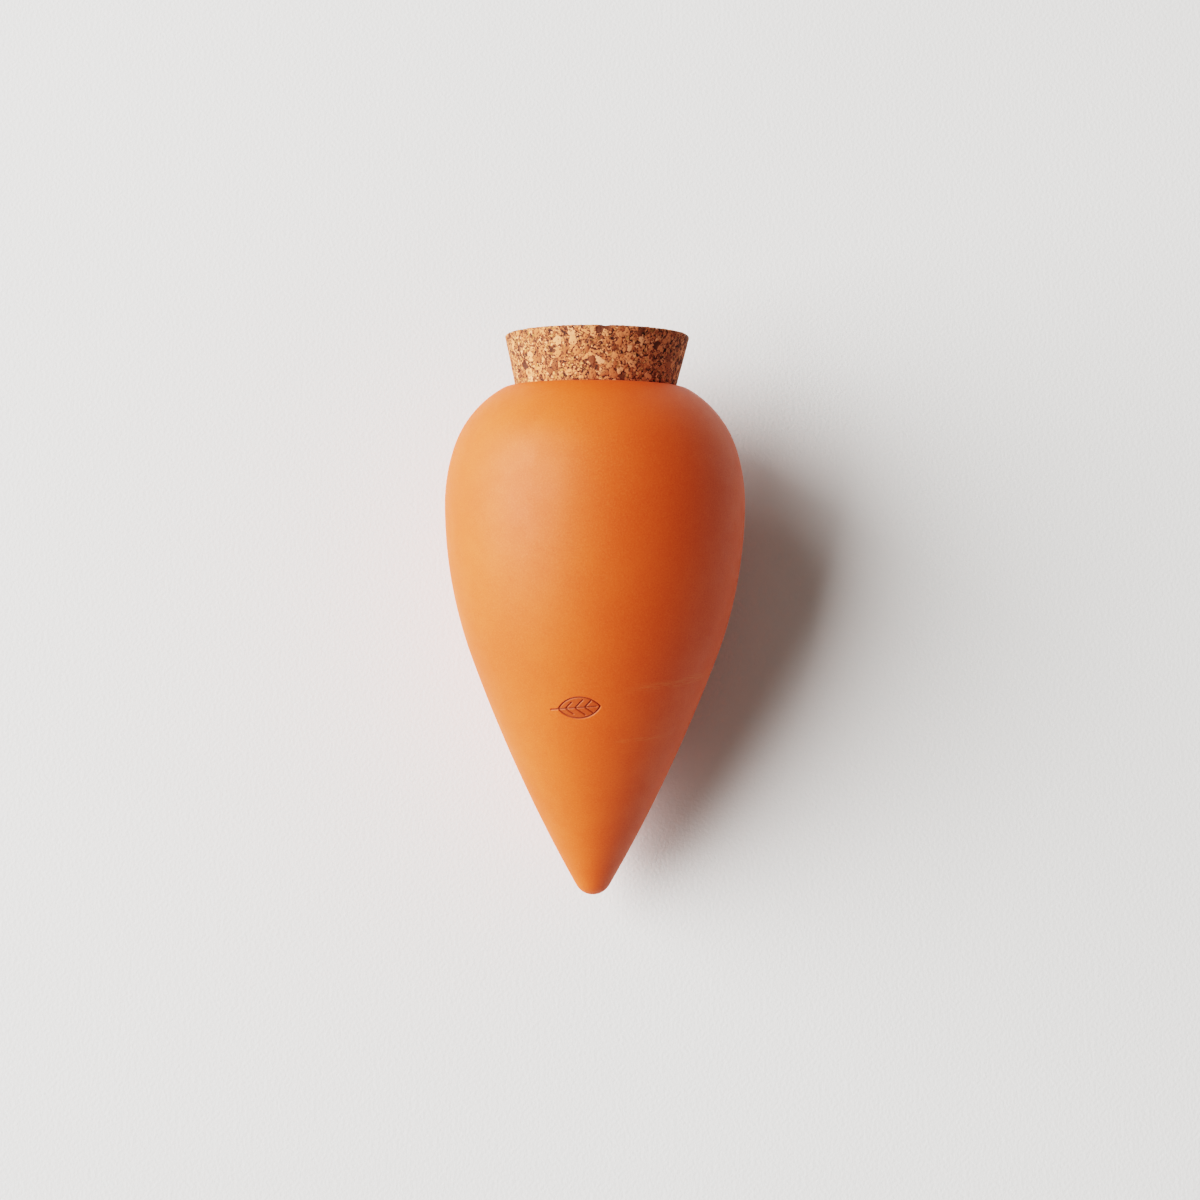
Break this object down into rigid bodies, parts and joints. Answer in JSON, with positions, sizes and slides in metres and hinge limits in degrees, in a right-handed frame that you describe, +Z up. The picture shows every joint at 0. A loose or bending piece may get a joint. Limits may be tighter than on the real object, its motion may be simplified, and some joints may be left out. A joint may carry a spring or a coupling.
{
  "type": "irrigation olla",
  "caption": "Hollow drop of unglazed terracotta with a tapered cork stopper, sunk point down in soil to water plants slowly.",
  "frame": {"origin": "bottom centre of the whole object's box, on the floor that it lies on", "axes": "+Z up as it lies on its side; +Y towards the cork, level; +X to the right seen from above with the cork at the top. The drop's own axis runs in the YZ plane, its point 13.0 degrees below level, because that is how it balances on its belly."},
  "size_m": [0.095, 0.1805, 0.0976],
  "materials": {
    "terracotta": "matte, unglazed, fine grain",
    "cork": "agglomerated cork, matte, granular"
  },
  "bodies": {
    "vessel": {"olla_body": "terracotta"},
    "stopper": {"cork_stopper": "cork"}
  },
  "joints": [
    {"name": "cork_pull", "type": "slide", "parent": "vessel", "child": "stopper", "axis": [0, 0.9745, 0.2242], "range_m": [0, 0.04]}
  ]
}
